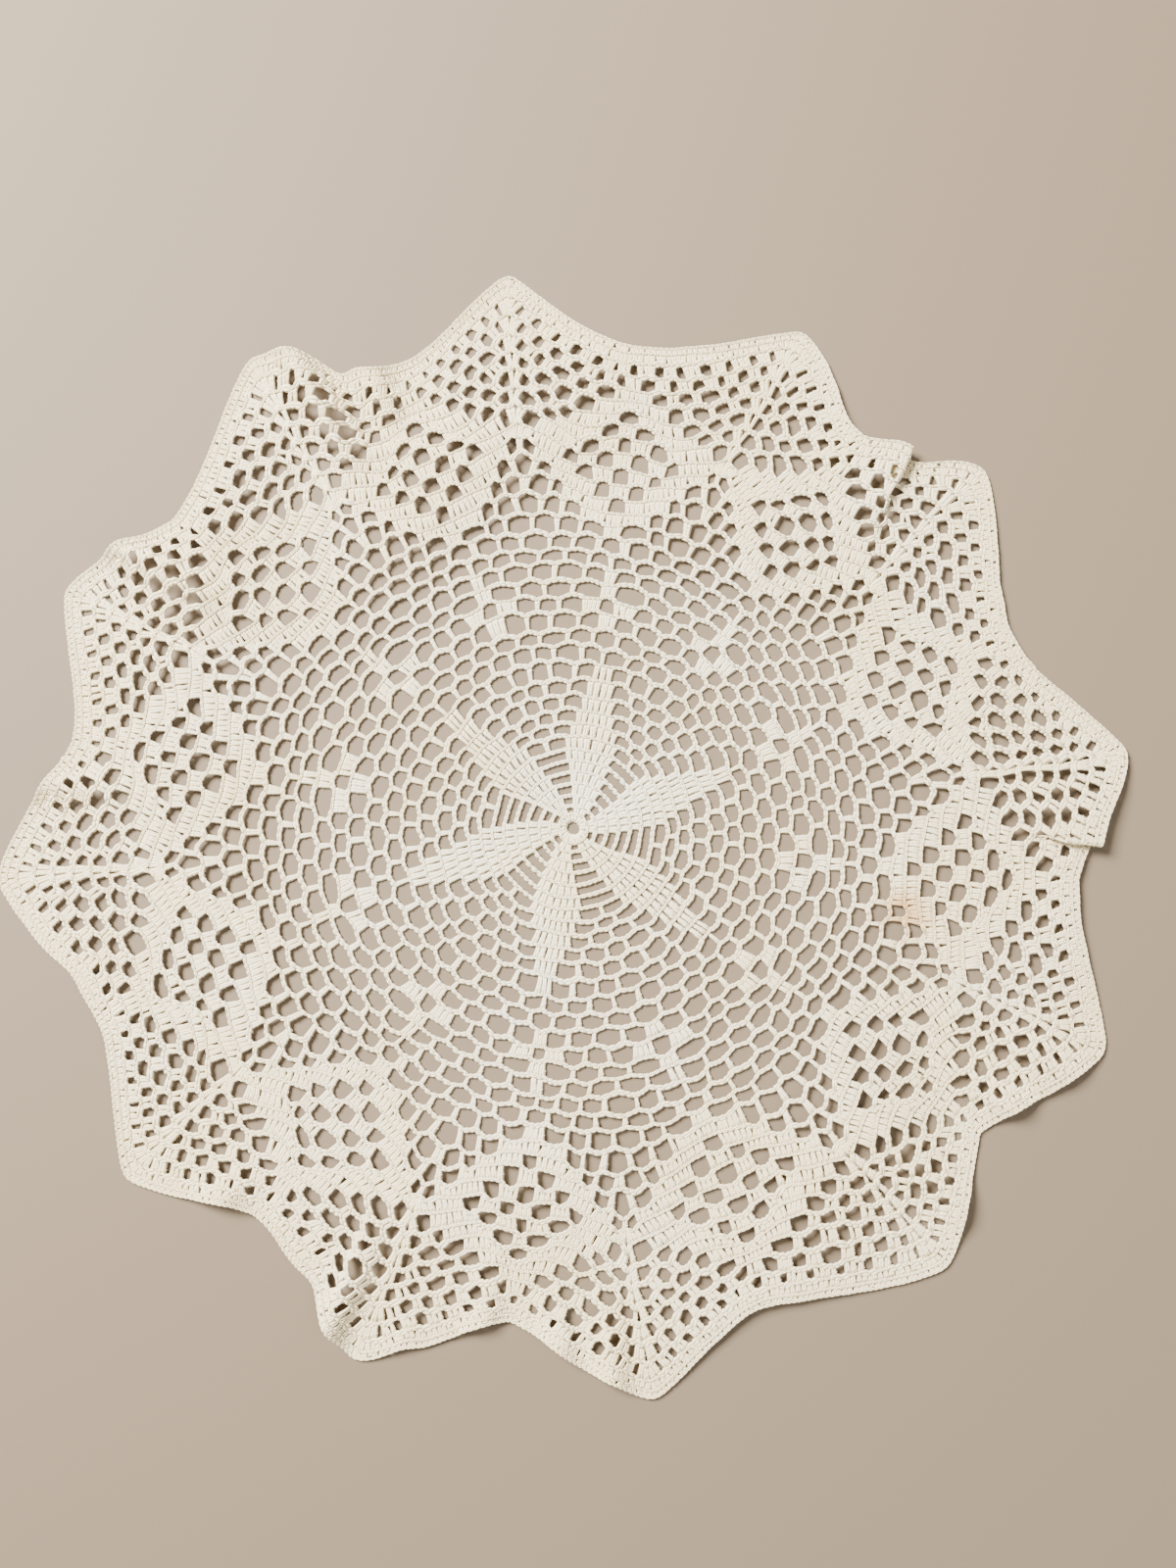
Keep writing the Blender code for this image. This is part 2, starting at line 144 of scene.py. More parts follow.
def place(row, turn):
    """Degrees and radius of a row number and a turn in twelfths, for arrays of any shape."""
    row, turn = np.broadcast_arrays(np.asarray(row, float), np.asarray(turn, float))
    index = np.floor(turn).astype(int)
    side = 2.0 * (turn - index) - 1.0
    scallop = np.array(SCALLOPS)[index % POINT_COUNT]
    later = side > 0.0
    at = index + later
    point = np.array(POINTS)[at % POINT_COUNT]
    lap = 360.0 * (at // POINT_COUNT - index // POINT_COUNT)
    size_of = np.array([s.size for s in SCALLOPS])
    spine_size = 0.5 * (size_of[at % POINT_COUNT] + size_of[(at - 1) % POINT_COUNT])

    outer = np.interp(row, (EDGE_ROW, RIM_ROW), (0.0, 1.0))
    inner = np.interp(row, UNEVEN_ROWS, (0.0, 1.0))
    axis_angle = scallop[..., 0] + outer * (scallop[..., 1] - scallop[..., 0])
    spine_angle = point[..., 0] + outer * (point[..., 1] - point[..., 0]) + lap
    reach = np.abs(side)
    twist = np.interp(row, TWIST_ROWS, TWIST_DEGREES)
    angle = axis_angle + reach * (spine_angle - axis_angle) + twist
    angle = angle + 360.0 * (index // POINT_COUNT)

    axis_scale = 1.0 + inner * (scallop[..., 3] - 1.0)
    axis_scale = axis_scale + outer * (scallop[..., 2] / RIM_AXIS_RADIUS - axis_scale)
    tip_scale = 1.0 + inner * (spine_size - 1.0)
    tip_scale = tip_scale + outer * (point[..., 2] / RIM_TIP_RADIUS - tip_scale)
    rows = [key.row for key in KEYS]
    axis_radius = axis_scale * np.interp(row, rows, [key.axis_radius for key in KEYS])
    tip_radius = tip_scale * np.interp(row, rows, [key.tip_radius for key in KEYS])

    level = np.interp(row, LEVEL_ROWS, LEVEL_SHARES)
    t = np.clip((reach - level) / (1.0 - level), 0.0, 1.0)
    blunt = INNER_BLUNTNESS + TIP_BLUNTNESS * outer
    short = np.hypot(1.0 - t, blunt) - blunt
    t = 1.0 - short / (np.hypot(1.0, blunt) - blunt)
    sag = np.where(later, scallop[..., 5], scallop[..., 4])
    power = NET_SAG + outer * (sag - NET_SAG)
    rounding = np.interp(row, ROUND_ROWS, ROUND_SHARES)
    rise = (1.0 - rounding) * t**power + rounding * ease(t)
    return angle, axis_radius + rise * (tip_radius - axis_radius)


def flat_place(row, turn):
    """x and y, in metres, of a row and turn before the cloth is laid down."""
    angle, radius = place(row, turn)
    turned = np.radians(angle)
    return np.stack([radius * np.sin(turned), radius * np.cos(turned)], axis=-1)


print("rim: valley", place(RIM_ROW, 0.5)[1].round(4), "tip", place(RIM_ROW, 1.0)[1].round(4))

# %% [markdown]
# ## How the cloth lies
#
# Laid on a floor, the rim has more length than the circle under it, so it ripples into
# small ruffles and in two places folds over itself. A cloth simulation could lay it down,
# but the folds would fall where they liked. Here drape() takes a flat position and gives
# the laid one. A pleat is a smooth sideways slide that turns back on itself, which makes
# three layers, with the top layers raised. They lie a little closer together than in the
# solid, whose layers need clear air between them.

# %% Ruffles and pleats
# Each ruffle: its direction and half width in degrees, the radius that it starts at, its
# height, and how far it pushes the rim out or in.
Ruffle = collections.namedtuple("Ruffle", "angle spread start height bulge")
RUFFLES = (
    Ruffle(28.2, 2.2, 0.240, 0.000, 0.0012),
    Ruffle(33.4, 1.8, 0.240, 0.000, -0.0020),
    Ruffle(39.2, 2.0, 0.240, 0.000, 0.0050),
    Ruffle(44.0, 2.0, 0.240, 0.000, -0.0110),
    Ruffle(88.2, 3.0, 0.235, 0.002, -0.0048),
    Ruffle(116.5, 2.4, 0.195, 0.004, -0.001),
    Ruffle(122.3, 1.7, 0.215, 0.006, -0.001),
    Ruffle(134.0, 2.4, 0.195, 0.006, -0.002),
    Ruffle(175.8, 1.6, 0.225, 0.005, -0.002),
    Ruffle(181.6, 2.0, 0.225, 0.005, -0.001),
    Ruffle(190.4, 1.8, 0.205, 0.005, -0.002),
    Ruffle(198.2, 1.5, 0.240, 0.002, -0.003),
    Ruffle(206.2, 1.8, 0.215, 0.008, 0.002),
    Ruffle(210.0, 1.8, 0.235, 0.000, -0.003),
    Ruffle(223.4, 2.2, 0.235, 0.006, -0.002),
    Ruffle(254.0, 2.2, 0.240, 0.000, -0.003),
    Ruffle(274.8, 1.8, 0.230, 0.005, 0.000),
    Ruffle(301.9, 1.7, 0.215, 0.009, 0.001),
    Ruffle(329.2, 2.0, 0.215, 0.012, 0.0025),
    Ruffle(332.8, 1.4, 0.235, 0.000, -0.006),
    Ruffle(336.2, 1.7, 0.235, 0.006, -0.003),
)
RUFFLE_RIM = 0.272

# Each pleat: degrees of its fold line at its inner and outer end, the radius that it
# starts at, how far it draws the cloth over, and the height of its top layer.
Pleat = collections.namedtuple("Pleat", "inner outer start draw height")
PLEATS = (
    Pleat(47.0, 41.3, 0.215, 0.0100, 0.0065),
    Pleat(90.4, 91.5, 0.225, 0.0115, 0.0070),
)
# Across its fold line a pleat's slide turns back within PLEAT_TURN metres and dies away
# within PLEAT_EASE, and its top layers drop within PLEAT_DROP and sink within PLEAT_FALL.
# From CORNER_START of the way to the rim it is drawn over less, which rounds its corner.
PLEAT_RIM = 0.278
PLEAT_TURN = 0.005
PLEAT_DROP = 0.0065
PLEAT_FALL = 0.040
PLEAT_EASE = 0.028
PLEAT_EARLY = 1.7
PLEAT_END = 1.2
CORNER_EASE = 0.22
CORNER_START = 0.72
print("ruffles:", len(RUFFLES), "pleats:", len(PLEATS))

# %% The laid place of any flat position
SWELL_HEIGHT = 0.0009
SWELL_BASE = 2.0
SWELL_WAVES = ((5.0, 0.8, 9.0), (7.0, 0.0, 6.0))
SWELL_RISE = 2.0
SWELL_FALL = 4.0
LYING_FLAT = 0.0002
RAMP_POWER = 8.0
# The slide is divided by the radius, which is 0 at the centre.
LEAST_RADIUS = 0.01


def ramp(t):
    """-1 to 1, almost straight between them, with short rounded ends."""
    return t / (1.0 + np.abs(t) ** RAMP_POWER) ** (1.0 / RAMP_POWER)


def degrees_from(angle, other):
    """The short way round from one angle to another, in degrees."""
    return (angle - other + 180.0) % 360.0 - 180.0


def swell(angle, radius):
    """The slight lift of the cloth between its flat middle and the tips of its points."""
    away = (radius - FLAT_RADIUS) / (RIM_TIP_RADIUS - FLAT_RADIUS)
    waves = SWELL_BASE
    for around, start, outward in SWELL_WAVES:
        waves = waves + np.sin(around * np.radians(angle) + start - outward * away)
    return SWELL_HEIGHT * ease(SWELL_RISE * away) * ease(SWELL_FALL * (1.0 - away)) * waves


def drape(flat):
    """The laid place of flat (x, y) positions, at the middle of the cloth's thickness."""
    angle = np.degrees(np.arctan2(flat[..., 0], flat[..., 1]))
    radius = np.hypot(flat[..., 0], flat[..., 1])
    height = swell(angle, radius)
    spread = radius.copy()
    for ruffle in RUFFLES:
        grown = ease((radius - ruffle.start) / (RUFFLE_RIM - ruffle.start))
        form = grown * np.exp(-((degrees_from(angle, ruffle.angle) / ruffle.spread) ** 2))
        height = height + ruffle.height * form
        spread = spread + ruffle.bulge * form
    laid = angle.copy()
    for pleat in PLEATS:
        along = (radius - pleat.start) / (PLEAT_RIM - pleat.start)
        line = pleat.inner + np.clip(along, 0.0, PLEAT_END) * (pleat.outer - pleat.inner)
        distance = np.radians(degrees_from(angle, line)) * radius
        raised = ease(PLEAT_EARLY * along)
        corner = ease((along - CORNER_START) / (1.0 - CORNER_START))
        drawn = pleat.draw * (ease(along) - CORNER_EASE * corner)
        drawn = drawn * np.tanh(distance / PLEAT_TURN)
        slide = drawn * np.exp(-((distance / PLEAT_EASE) ** 2))
        laid = laid - np.degrees(slide / np.maximum(radius, LEAST_RADIUS))
        over = 0.5 * (1.0 - ramp(distance / PLEAT_DROP))
        over = raised * over * np.exp(-((np.minimum(distance, 0.0) / PLEAT_FALL) ** 2))
        height = height * (1.0 - over) + pleat.height * over
    height = np.maximum(height - LYING_FLAT, 0.0)
    turned = np.radians(laid)
    x = spread * np.sin(turned) + CENTRE_SHIFT[0]
    y = spread * np.cos(turned) + CENTRE_SHIFT[1]
    return np.stack([x, y, height + MID_HEIGHT], axis=-1)


valley = flat_place(np.array([RIM_ROW]), np.array([0.5]))
print("a valley of the rim, flat", valley.round(4), "and laid", drape(valley).round(4))

# %% Uneven hand work
# Hand work is never quite even: slow waves stretch and squeeze the lace between its rows.
Wave = collections.namedtuple("Wave", "degrees length start")
HAND_WAVES = (
    Wave(10.0, 0.0265, 0.4),
    Wave(52.0, 0.0215, 2.1),
    Wave(97.0, 0.0295, 4.0),
    Wave(131.0, 0.0190, 1.3),
    Wave(166.0, 0.0235, 5.2),
    Wave(75.0, 0.0430, 3.0),
    Wave(150.0, 0.0370, 0.9),
)
HAND_AMPLITUDE = 0.00042
HAND_RADII = (0.035, 0.070, 0.205, 0.230, 0.262, 0.282)
HAND_STRENGTHS = (0.4, 1.0, 1.0, 0.9, 0.8, 0.0)


def by_hand(flat):
    """Flat positions shifted a little, as uneven stitches would shift them."""
    radius = np.hypot(flat[..., 0], flat[..., 1])
    strength = np.interp(radius, HAND_RADII, HAND_STRENGTHS)[..., None]
    moved = np.zeros_like(flat)
    for wave in HAND_WAVES:
        turned = math.radians(wave.degrees)
        way = np.array([math.sin(turned), math.cos(turned)])
        phase = (flat @ way) * (2.0 * math.pi / wave.length) + wave.start
        moved = moved + np.sin(phase)[..., None] * way
    return flat + HAND_AMPLITUDE * strength * moved


print("hand work moves that valley by", (by_hand(valley) - valley).round(5))

# %% Yarn above and below the middle of the cloth
NORMAL_STEP = 0.0004
FLOOR_GAP = 0.0001


def lay_down(flat, up):
    """Laid places of flat positions that stand up above or below the cloth's middle."""
    middle = drape(flat)
    east = drape(flat + np.array([NORMAL_STEP, 0.0])) - middle
    north = drape(flat + np.array([0.0, NORMAL_STEP])) - middle
    normal = np.cross(east, north)
    normal /= np.linalg.norm(normal, axis=-1, keepdims=True)
    laid = middle + normal * up[..., None]
    laid[..., 2] = np.maximum(laid[..., 2], FLOOR_GAP)
    return laid


print("a millimetre above it:", lay_down(valley, np.array([0.001])).round(4))

# %% [markdown]
# ## The chart
#
# Lace could be drawn strand by strand, but crochet is written down as a chart, and that
# is far shorter. A chart says, round by round, where the gaps are: what lies between two
# gaps is filled with double crochet. The star's rounds are given per petal, and the rest
# per scallop. A gap's side runs from 0 at the scallop's axis to 1 at the spine of its
# point, and each one is worked on both sides of the axis. A round isn't quite a circle,
# so three row numbers say where it crosses the axis, the scallop's side and the spine.

# %% Rounds of the star and of the scallops
# Each star round: stitches of a petal, gaps between petals, and its swirl in degrees.
Star = collections.namedtuple("Star", "number stitches gaps swirl")
STAR_ROUNDS = (
    Star(1, 2, 0, 0.0),
    Star(2, 2, 1, 14.0),
    Star(3, 3, 1, 12.0),
    Star(4, 4, 1, 8.5),
    Star(5, 5, 1, 6.3),
    Star(6, 6, 1, 4.0),
    Star(7, 7, 1, 2.2),
    Star(8, 7, 2, 2.2),
    Star(9, 6, 3, 1.8),
    Star(10, 5, 4, 1.0),
    Star(11, 4, 5, 1.0),
    Star(12, 3, 6, 1.0),
    Star(13, 2, 7, 0.6),
)
PETAL_COUNT = 6
PETAL_STITCH = 0.0036
NET_POST = 0.0033

# Each scallop round: its row at the axis, side and spine, then (side, width) of its gaps.
Round = collections.namedtuple("Round", "number axis side spine gaps")
ROUNDS = (
    Round(14, 14.30, 14.30, 14.25, ((0.25, 0.40), (0.74, 0.40))),
    Round(15, 15.10, 15.05, 15.00, ((0.00, 0.36), (0.49, 0.38), (1.00, 0.36))),
    Round(16, 16.20, 16.10, 15.95, ((0.33, 0.33), (0.77, 0.37))),
    Round(17, 17.30, 17.10, 17.00, ((0.00, 0.22), (0.62, 0.27), (1.00, 0.27))),
    Round(18, 18.15, 18.10, 18.00, ((0.34, 0.40), (0.79, 0.32))),
    Round(19, 19.25, 19.10, 19.00, ((0.23, 0.28), (0.60, 0.33), (1.00, 0.28))),
    Round(20, 20.20, 20.10, 20.00, ((0.155, 0.25), (0.47, 0.27), (0.81, 0.28))),
    Round(21, 21.20, 21.10, 20.95, ((0.00, 0.23), (0.35, 0.24), (0.67, 0.24), (1.00, 0.24))),
    Round(22, 22.15, 22.10, 22.00, ((0.26, 0.26), (0.56, 0.22), (0.84, 0.22))),
    Round(23, 23.10, 23.10, 22.95, ((0.50, 0.18), (0.74, 0.20), (1.00, 0.20))),
    Round(24, 23.90, 24.20, 24.05, ((0.00, 0.18), (0.67, 0.14), (0.87, 0.17))),
    Round(25, 24.85, 25.00, 24.95, ((0.19, 0.17), (0.81, 0.15), (1.00, 0.12))),
    Round(26, 25.85, 25.90, 25.90, ((0.00, 0.18), (0.37, 0.16), (0.93, 0.09))),
    Round(27, 26.85, 26.85, 26.70, ((0.18, 0.17), (0.52, 0.14), (1.00, 0.015))),
    Round(28, 27.95, 27.85, 27.50, ((0.00, 0.17), (0.34, 0.15), (0.885, 0.12), (1.00, 0.015))),
    Round(29, 29.00, 28.40, 28.50, ((0.17, 0.15), (0.72, 0.13), (0.905, 0.10), (1.00, 0.015))),
    Round(
        30, 30.00, 29.22, 29.55,
        ((0.00, 0.17), (0.57, 0.13), (0.755, 0.115), (0.915, 0.085), (1.00, 0.015)),
    ),
    Round(
        31, 30.80, 30.20, 30.50,
        ((0.40, 0.13), (0.59, 0.125), (0.755, 0.105), (0.915, 0.08), (1.00, 0.015)),
    ),
    Round(
        32, 31.55, 31.33, 31.55,
        ((0.23, 0.14), (0.43, 0.12), (0.62, 0.115), (0.78, 0.09), (0.92, 0.065), (1.0, 0.015)),
    ),
    Round(
        33, 32.50, 32.40, 32.60,
        (
            (0.11, 0.08), (0.30, 0.08), (0.49, 0.08), (0.65, 0.072), (0.79, 0.06),
            (0.915, 0.04), (1.0, 0.015),
        ),
    ),
    Round(
        34, 33.80, 33.50, 33.70,
        (
            (0.0, 0.05), (0.17, 0.055), (0.33, 0.058), (0.50, 0.058), (0.66, 0.052),
            (0.80, 0.042), (0.92, 0.028),
        ),
    ),
    Round(35, 34.95, 34.85, 34.90, ()),
    Round(36, 36.00, 35.95, 35.98, ()),
)
print("rounds:", len(STAR_ROUNDS) + len(ROUNDS))

# %% Gaps and edges of a round
SIDE_AT = 0.55
# The first round stands on a small ring, and the last one's tops stay just inside the rim.
CENTRE_ROW = 0.58
EDGE_INSET = 0.30
# Past the net, yarn fills a little of each gap, and in the outer mesh gaps differ in size.
NET_LAST = 22
MESH_FIRST = 28
GAP_SHARE = 0.91
GAP_SPREAD = 0.17
GAP_LEAST = 0.55
GAP_MOST = 1.30
gap_sizes = np.random.default_rng(5)


def star_gaps(star):
    """(middle, width) in turns of the gaps of one star round."""
    radius = place(star.number, 0.0)[1]
    sector = 2.0 * math.pi * radius / PETAL_COUNT
    petal = 2.0 * star.stitches * PETAL_STITCH / sector
    gaps = []
    for index in range(PETAL_COUNT if star.gaps else 0):
        middle = 2.0 * index + 1.5 + star.swirl / TURN_DEGREES
        step = (2.0 - petal) / star.gaps
        for gap in range(star.gaps):
            shared = 2.0 * NET_POST / sector * (star.gaps - 1) / star.gaps
            gaps.append((middle + petal / 2.0 + (gap + 0.5) * step, step - shared))
    return gaps


def scallop_gaps(chart):
    """(middle, width) in turns of the gaps of one scallop round."""
    gaps = []
    uneven = GAP_SPREAD if chart.number >= MESH_FIRST else 0.0
    for index in range(POINT_COUNT):
        for side, width in chart.gaps:
            for sign in (-1, 1) if 0.0 < side < 1.0 else (1,):
                share = np.clip(gap_sizes.normal(1.0, uneven), GAP_LEAST, GAP_MOST)
                share *= GAP_SHARE if chart.number > NET_LAST else 1.0
                gaps.append((index + 0.5 + 0.5 * sign * side, 0.5 * width * share))
    return gaps


def middle_row(number, turn):
    """Where the middle of a round runs, as a row number, at each turn."""
    charts = {chart.number: chart for chart in ROUNDS}
    chart = charts.get(number)
    if chart is None:
        return np.full(np.shape(turn), float(number))
    side = np.abs(2.0 * (turn - np.floor(turn)) - 1.0)
    row = chart.axis + ease(side / SIDE_AT) * (chart.side - chart.axis)
    return row + ease((side - SIDE_AT) / (1.0 - SIDE_AT)) * (chart.spine - chart.side)


def top_row(number, turn):
    """Where the top of a round runs: halfway to the next one, or by the ring or the rim."""
    if number == ROUNDS[-1].number:
        return np.full(np.shape(turn), RIM_ROW - EDGE_INSET)
    if number == 0:
        return np.full(np.shape(turn), CENTRE_ROW)
    return 0.5 * (middle_row(number, turn) + middle_row(number + 1, turn))


GAPS = {star.number: star_gaps(star) for star in STAR_ROUNDS}
GAPS.update({chart.number: scallop_gaps(chart) for chart in ROUNDS})
print("gaps in all:", sum(len(gaps) for gaps in GAPS.values()) + 1)

# %% [markdown]
# ## From the chart to strands
#
# Each round becomes a row of posts, and a chain that runs along their tops and over the
# gaps. Over a gap the chain is a thick bar, and on the posts it is a low ridge, which is
# what makes the lines in the solid bands. Posts stand square to their round, not to the
# centre, so gaps near a point's spine slant. A small seeded unevenness keeps the copies
# from looking stamped.

# %% Widths and leans
LEAN_STEP = 0.05
ROW_STEP = 0.25
NET_STITCH = 0.0031
MESH_STITCH = 0.0029
STAR_LAST = STAR_ROUNDS[-1].number


def stitch_pitch(number):
    """Width of one double crochet in metres, which depends on how tightly it is worked."""
    if number <= STAR_LAST:
        return PETAL_STITCH
    return NET_STITCH if number <= NET_LAST else MESH_STITCH


def turn_width(row, turn):
    """Metres of one turn at a row, along the round."""
    ahead = flat_place(row, turn + LEAN_STEP)
    behind = flat_place(row, turn - LEAN_STEP)
    return np.linalg.norm(ahead - behind, axis=-1) / (2.0 * LEAN_STEP)


def lean(row, turn):
    """Turns by which a line square to the round drifts for one row outwards."""
    along = flat_place(row, turn + LEAN_STEP) - flat_place(row, turn - LEAN_STEP)
    along = along / (2.0 * LEAN_STEP)
    outward = flat_place(row + ROW_STEP, turn) - flat_place(row - ROW_STEP, turn)
    outward = outward / (2.0 * ROW_STEP)
    return -(outward * along).sum(-1) / (along * along).sum(-1)


print("lean near a spine of round 30:", lean(np.array([30.0]), np.array([0.9])).round(4))

# %% Stitches of a round
WIDEST_POST = 0.0042
# Posts are a little wider than their pitch, so that neighbours touch, as the yarn does.
STAR_SHARE = 1.03
BAND_SHARE = 1.16
GATHER = 0.84
BLOCK_STEPS = 9
ROUND_STEPS = 1201


def blocks(number):
    """(start, end) in turns of the solid stretches between the gaps of a round."""
    gaps = sorted((middle % POINT_COUNT, width) for middle, width in GAPS[number])
    if not gaps:
        return [(0.0, float(POINT_COUNT))]
    found = []
    for index, (middle, width) in enumerate(gaps):
        following = gaps[(index + 1) % len(gaps)]
        end = following[0] - 0.5 * following[1]
        end += POINT_COUNT if index + 1 == len(gaps) else 0.0
        found.append((middle + 0.5 * width, end))
    return found


def stitches_of(number):
    """Of every stitch of a round: the turn of its middle, its width, and its block."""
    turns, widths, groups = [], [], []
    gapped = len(GAPS[number]) > 0
    for group, (start, end) in enumerate(blocks(number)):
        steps = np.linspace(start, end, BLOCK_STEPS if gapped else ROUND_STEPS)
        path = flat_place(middle_row(number, steps), steps)
        length = np.linalg.norm(np.diff(path, axis=0), axis=-1).cumsum()
        length = np.concatenate([[0.0], length])
        count = max(1, round(length[-1] / stitch_pitch(number)))
        at = (np.arange(count) + 0.5) / count * length[-1]
        turns += list(np.interp(at, length, steps))
        width = min(length[-1] / count, WIDEST_POST)
        width *= STAR_SHARE if number <= STAR_LAST else BAND_SHARE
        if count == 1 and number <= NET_LAST:
            width = NET_POST
        widths += [width] * count
        groups += [group] * count
    return np.array(turns), np.array(widths), np.array(groups)


def gather(number, feet, groups):
    """Feet drawn together wherever several stitches of a block go into one gap below."""
    below = np.array(GAPS.get(number - 1, []))
    if number <= STAR_LAST or not len(below):
        return feet
    half = 0.5 * POINT_COUNT
    away = (feet[:, None] - below[None, :, 0] + half) % POINT_COUNT - half
    over = np.abs(away) < 0.5 * below[None, :, 1]
    gap = np.where(over.any(axis=1), over.argmax(axis=1), -1)
    drawn = feet.copy()
    keys = groups * (len(below) + 1) + gap
    for key in np.unique(keys[gap >= 0]):
        together = keys == key
        centre = feet[together].mean()
        drawn[together] = centre + GATHER * (feet[together] - centre)
    return drawn


print("stitches in round 30:", len(stitches_of(30)[0]))

# %% The chain along a round
CHAIN_PITCH = 0.0033
# Each zone: its last round, how far chains over gaps arch out in rows, their width, and
# how far in rows the tops of posts stay inside the round's edge.
Zone = collections.namedtuple("Zone", "last arch bar tuck")
ZONES = (
    Zone(7, 0.05, 1.00, 0.00),
    Zone(22, 0.16, 1.12, 0.00),
    Zone(27, 0.19, 1.15, 0.06),
    Zone(30, 0.18, 1.38, 0.05),
    Zone(34, 0.12, 1.55, 0.02),
    Zone(36, 0.00, 1.00, 0.00),
)
ARCH_PEAK = 1.6
ARCH_POWER = 1.4


def zone_of(number):
    """The zone that a round is in."""
    return next(zone for zone in ZONES if number <= zone.last)


def row_growth(number):
    """How much the radius grows in one row, as a share of the radius."""
    inside, outside = place(number, 0.0)[1], place(number + 1.0, 0.0)[1]
    return float(2.0 * (outside - inside) / (outside + inside))


def chain_nodes(number, turns, rows, first):
    """The chain along the tops: every stitch top, with more nodes over each gap.

    Each node has the width of the chain after it, or 0 where it lies on posts.
    """
    out_turns, out_rows, bars = [], [], []
    zone = zone_of(number)
    order = np.argsort(turns)
    turns, rows, first = turns[order], rows[order], first[order]
    for index in range(len(turns)):
        out_turns.append(turns[index])
        out_rows.append(rows[index])
        following = (index + 1) % len(turns)
        over_gap = first[following] and len(GAPS[number]) > 0
        bars.append(zone.bar if over_gap else 0.0)
        if not over_gap:
            continue
        end = turns[following] + (POINT_COUNT if following == 0 else 0)
        span = end - turns[index]
        middle = turns[index] + 0.5 * span
        wide = float(span * turn_width(top_row(number, middle), np.array(middle)))
        sagitta = 0.5 * math.radians(0.5 * TURN_DEGREES * span) ** 2 / row_growth(number)
        links = max(1, 2 * round(0.5 * wide / CHAIN_PITCH))
        for link in range(1, links):
            share = link / links
            turn = turns[index] + share * span
            ends = (1 - share) * (rows[index] - top_row(number, turns[index]))
            ends += share * (rows[following] - top_row(number, turns[following]))
            out_turns.append(turn)
            arch = ARCH_PEAK * zone.arch * (1.0 - abs(2.0 * share - 1.0) ** ARCH_POWER)
            straight = sagitta * (1.0 - (2.0 * share - 1.0) ** 2)
            out_rows.append(top_row(number, turn) + ends + arch - straight)
            bars.append(zone.bar)
    return np.array(out_turns), np.array(out_rows), np.array(bars)


print("zones:", [zone.last for zone in ZONES], "row growth at 20:", round(row_growth(20), 4))

# %% Posts, bars and ridges of every round
Strands = collections.namedtuple("Strands", "starts ends widths")
unevenness = np.random.default_rng(12)
SINGLE_TUCK = 0.6
# Where a block's posts fan out, neighbours this near (in widths) widen up to this share.
FAN_REACH = 1.6
FAN_SPREAD = 1.3
JITTER = 0.00018
MESH_JITTER = 1.8 * JITTER
CHAIN_JITTER = 0.5 * JITTER
WIDTH_LEAST = 0.93
WIDTH_MOST = 1.02
CENTRE_STEPS = 13
MILLIMETRE = 0.001


def work_round(number, below):
    """Posts, bars and ridges of one round, standing on the chain of the round below."""
    turns, widths, groups = stitches_of(number)
    first = groups != np.roll(groups, 1)
    single = first & np.roll(first, -1)
    middle = middle_row(number, turns)
    slant = lean(middle, turns)
    tops = turns + slant * (top_row(number, turns) - middle)
    feet = gather(number, turns - slant * (middle - top_row(number - 1, turns)), groups)
    zone = zone_of(number)
    drawn_in = SINGLE_TUCK * zone.arch * single * (number <= NET_LAST)
    top_rows = top_row(number, tops) - zone.tuck - drawn_in
    foot_rows = np.interp(feet, *below, period=POINT_COUNT)

    starts = flat_place(foot_rows, feet)
    ends = flat_place(top_rows, tops)
    after = np.linalg.norm(np.roll(ends, -1, axis=0) - ends, axis=-1)
    apart = np.stack([after, np.roll(after, 1)])
    apart = np.where(apart < FAN_REACH * widths, apart, 0.0).max(axis=0)
    widths = np.clip(apart, widths, FAN_SPREAD * widths)
    shaken = JITTER if number < MESH_FIRST else MESH_JITTER
    shake = unevenness.normal(0.0, shaken, (2, len(turns), 2))
    starts, ends = starts + shake[0], ends + shake[1]
    widths = widths * unevenness.uniform(WIDTH_LEAST, WIDTH_MOST, len(turns))
    posts = Strands(starts, ends, widths)

    node_turns, node_rows, bars = chain_nodes(number, tops, top_rows, first)
    nodes = flat_place(node_rows, node_turns)
    nodes = nodes + unevenness.normal(0.0, CHAIN_JITTER, nodes.shape)
    after = np.roll(nodes, -1, axis=0)
    over_gap = bars > 0.0
    bar = Strands(nodes[over_gap], after[over_gap], bars[over_gap] * MILLIMETRE)
    ridge = Strands(nodes[~over_gap], after[~over_gap], np.full((~over_gap).sum(), MILLIMETRE))
    return (posts, bar, ridge), (node_turns % POINT_COUNT, node_rows)


WORKED = {}
ring = np.linspace(0.0, POINT_COUNT, CENTRE_STEPS)[:-1]
chain_below = (ring, np.full(len(ring), CENTRE_ROW))
for number in sorted(GAPS):
    WORKED[number], chain_below = work_round(number, chain_below)
totals = [sum(len(strands[kind].starts) for strands in WORKED.values()) for kind in range(3)]
print("posts, bar links, ridge links:", totals)

# %% [markdown]
# ## Three templates
#
# A double crochet is two legs of yarn side by side, drawn together at the foot, with one
# wrap lying slantwise over them near the top. A chain link is two bowed strands: thick
# ones in a bar over a gap, and slimmer, higher ones in a ridge on the posts. Bevelled
# curves would be round too, but they are slow by the thousand, so each strand is a short
# mesh tube. It starts as a four-sided ring from create_circle, and is extruded from
# station to station. Across is in widths of the strand, up and half heights are in
# millimetres, and along runs from 0 at the foot to 1 at the top.

